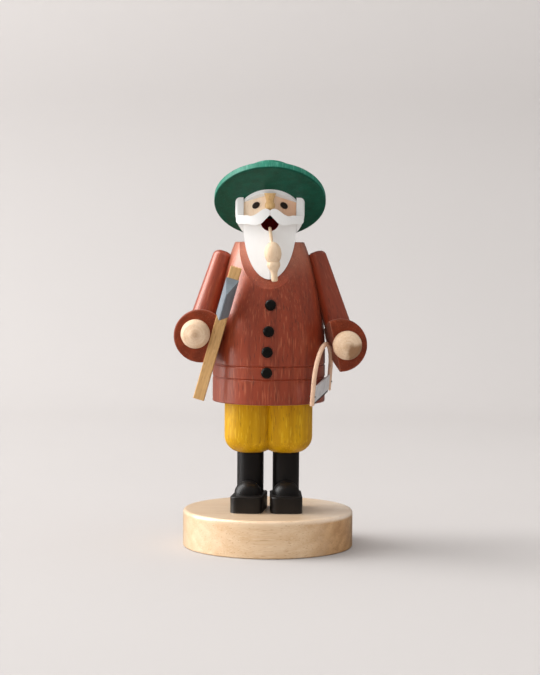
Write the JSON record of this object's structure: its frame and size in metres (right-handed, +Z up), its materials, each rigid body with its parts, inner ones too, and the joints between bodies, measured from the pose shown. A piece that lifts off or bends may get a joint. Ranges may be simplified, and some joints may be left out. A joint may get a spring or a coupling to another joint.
{
  "type": "incense smoker figure",
  "caption": "Turned wooden woodsman with pipe, axe and bow saw on a round stand; the hollow upper body lifts off its legs to take an incense cone and smokes from the mouth.",
  "frame": {"origin": "centre of the stand's underside", "axes": "+Z up, the figure faces -Y, its left arm is on the +X side"},
  "size_m": [0.0972, 0.087, 0.1966],
  "materials": {
    "beech": "clear satin lacquer over turned beech",
    "plain_wood": "raw sanded wood",
    "brown_stain": "reddish-brown stain, grain showing",
    "yellow_stain": "yellow stain, grain showing",
    "black_lacquer": "satin black lacquer",
    "green_stain": "green stain, grain showing",
    "white_paint": "matt white paint",
    "face_wood": "raw pale wood",
    "pale_wood": "raw pale turned wood",
    "dark_gloss": "gloss dark lacquer",
    "handle_wood": "clear lacquered wood",
    "blue_grey_paint": "satin blue-grey paint",
    "cane": "bent raw cane",
    "steel": "plain sheet and wire",
    "dish_brass": "pressed sheet"
  },
  "bodies": {
    "stand": {"base_disc": "beech", "shoe_left": "black_lacquer", "shoe_right": "black_lacquer", "toe_cap_left": "black_lacquer", "toe_cap_right": "black_lacquer", "boot_shaft_left": "black_lacquer", "boot_shaft_right": "black_lacquer", "trouser_left": "yellow_stain", "trouser_right": "yellow_stain", "hip_plug": "plain_wood", "leg_dowels": "plain_wood", "incense_plate": "dish_brass", "plate_nail": "steel"},
    "figure": {"arm_dowels": "plain_wood", "axe_handle": "handle_wood", "axe_head": "blue_grey_paint", "button_1": "dark_gloss", "button_2": "dark_gloss", "button_3": "dark_gloss", "button_4": "dark_gloss", "coat": "brown_stain", "cuff_left": "brown_stain", "cuff_right": "brown_stain", "elbow_dowels": "plain_wood", "eye_left": "dark_gloss", "eye_right": "dark_gloss", "face": "face_wood", "hair_fringe": "white_paint", "hair_left": "white_paint", "hair_right": "white_paint", "hand_left": "pale_wood", "hand_right": "pale_wood", "hat": "green_stain", "hat_dowels": "plain_wood", "head": "white_paint", "moustache_left": "white_paint", "moustache_right": "white_paint", "nose": "face_wood", "pipe_bowl": "pale_wood", "pipe_stem": "pale_wood", "saw_blade": "steel", "saw_bow": "cane", "saw_pins": "steel", "upper_arm_left": "brown_stain", "upper_arm_right": "brown_stain"}
  },
  "joints": [
    {"name": "body_lift", "type": "slide", "parent": "stand", "child": "figure", "axis": [0, 0, 1], "range_m": [0, 0.06]}
  ]
}
